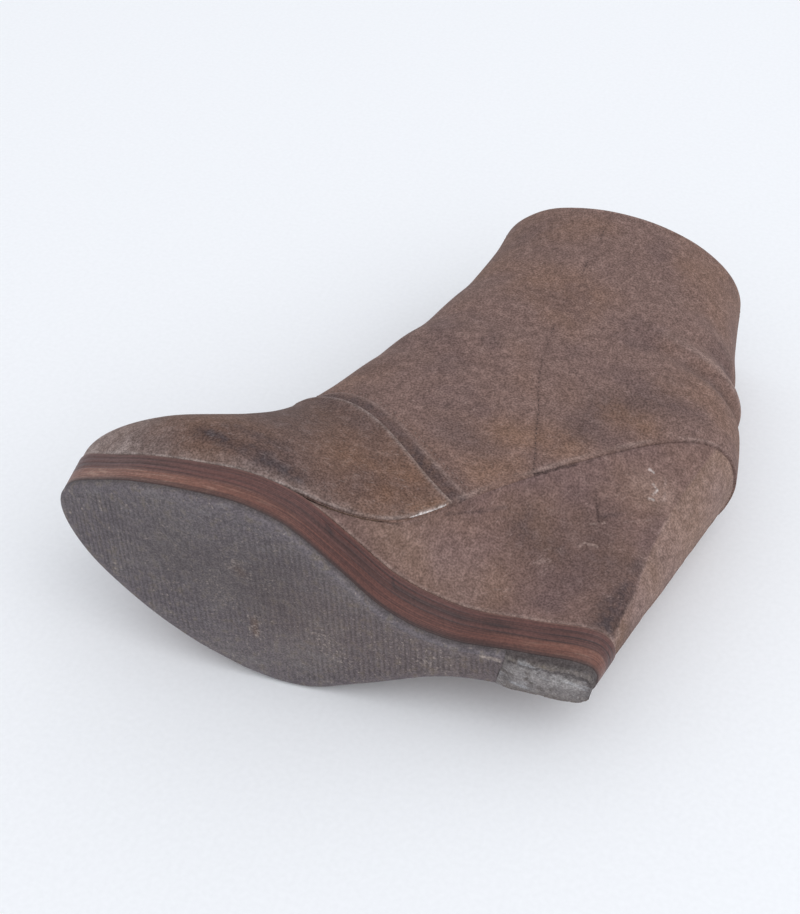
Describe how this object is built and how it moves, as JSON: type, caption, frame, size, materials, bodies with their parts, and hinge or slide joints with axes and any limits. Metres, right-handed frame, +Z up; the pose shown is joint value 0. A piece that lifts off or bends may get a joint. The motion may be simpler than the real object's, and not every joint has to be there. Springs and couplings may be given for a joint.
{
  "type": "wedge ankle boot",
  "caption": "High wedge ankle boot: hollow suede upper with a vamp overlay, suede covered wedge, stacked platform strip and ribbed rubber tread, lying on its outer side.",
  "frame": {"origin": "on the floor under the middle of the boot's box, the boot lying on its outer side", "axes": "+Z up from the floor, toe towards -X, collar towards +Y and tread towards -Y"},
  "size_m": [0.2362, 0.2372, 0.0909],
  "materials": {
    "heel_rubber": "hard rubber, matt and worn",
    "tread_rubber": "fine ribbed rubber sheet, dusty",
    "stacked_leather": "stacked layers, satin edge dressing",
    "wedge_suede": "suede nap",
    "sock_leather": "smooth lining leather",
    "upper_suede": "suede nap",
    "vamp_suede": "suede nap, darker"
  },
  "bodies": {
    "root": {"heel_piece": "heel_rubber", "outsole": "tread_rubber", "platform": "stacked_leather", "wedge": "wedge_suede", "insole": "sock_leather", "upper": "upper_suede", "vamp": "vamp_suede"}
  },
  "joints": []
}
